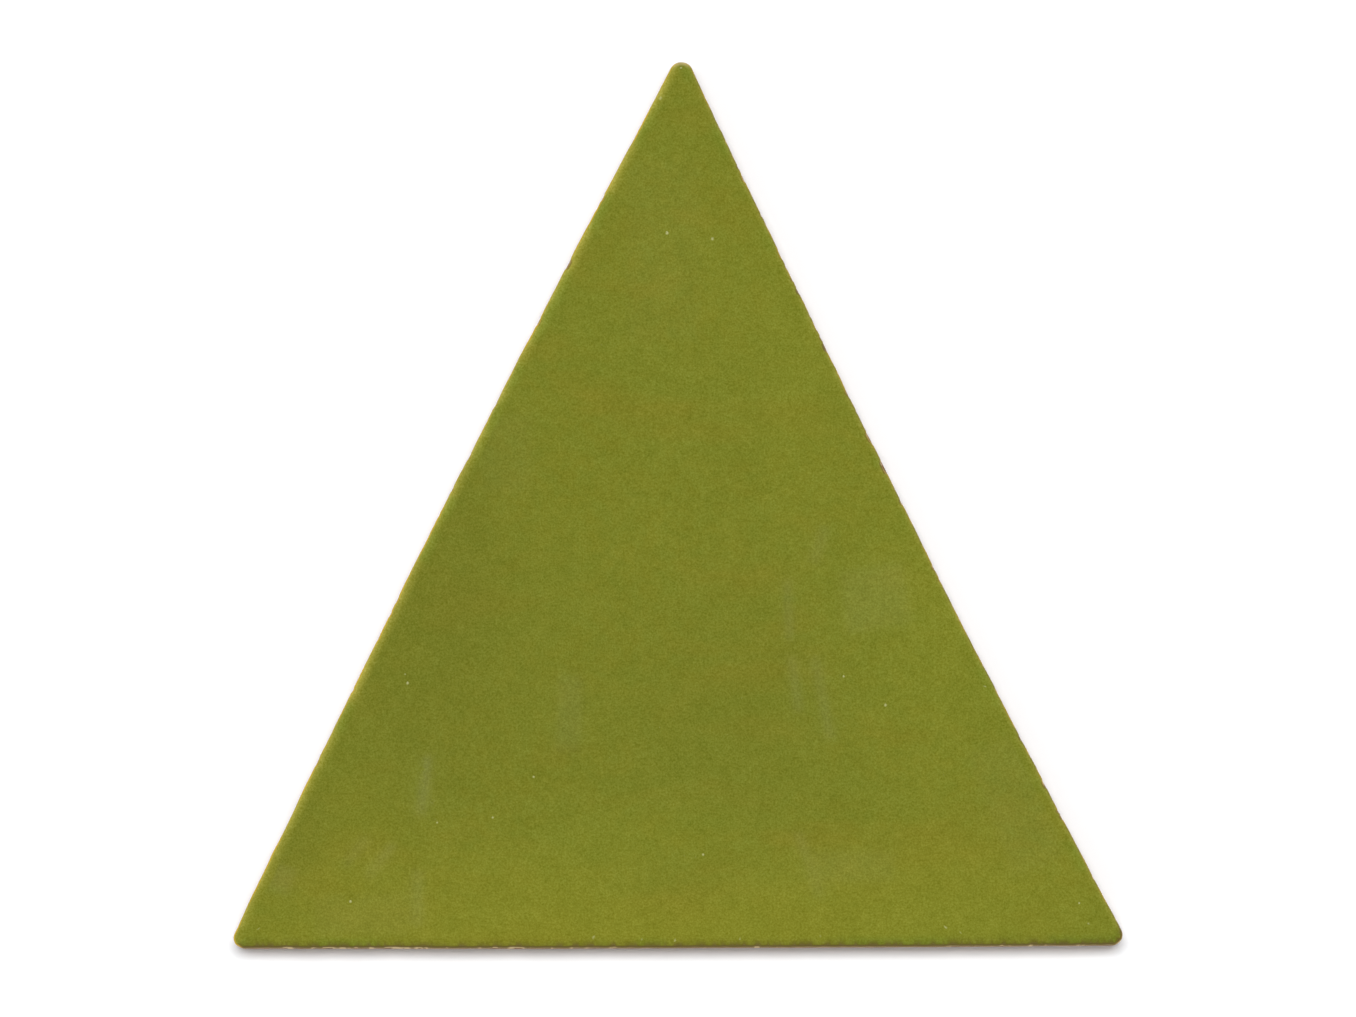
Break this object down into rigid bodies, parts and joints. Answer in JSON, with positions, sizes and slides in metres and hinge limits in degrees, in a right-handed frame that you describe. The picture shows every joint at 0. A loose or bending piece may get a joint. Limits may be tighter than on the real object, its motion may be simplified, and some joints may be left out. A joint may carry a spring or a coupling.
{
  "type": "triangular wall tile",
  "caption": "Flat tall-triangle ceramic wall tile with a glossy olive glaze, rounded face edges, a low spacer flange and a ribbed back.",
  "frame": {"origin": "middle of the bounding box in X and Y, on the plane of the back", "axes": "+X along the straight base side, +Y towards the apex, +Z out of the glazed face"},
  "size_m": [0.1476, 0.147, 0.009],
  "materials": {
    "fired_clay": "matte",
    "engobe": "matte",
    "olive_glaze": "gloss"
  },
  "bodies": {
    "root": {"clay_body": "fired_clay", "engobe_coat": "engobe", "glaze_coat": "olive_glaze"}
  },
  "joints": []
}
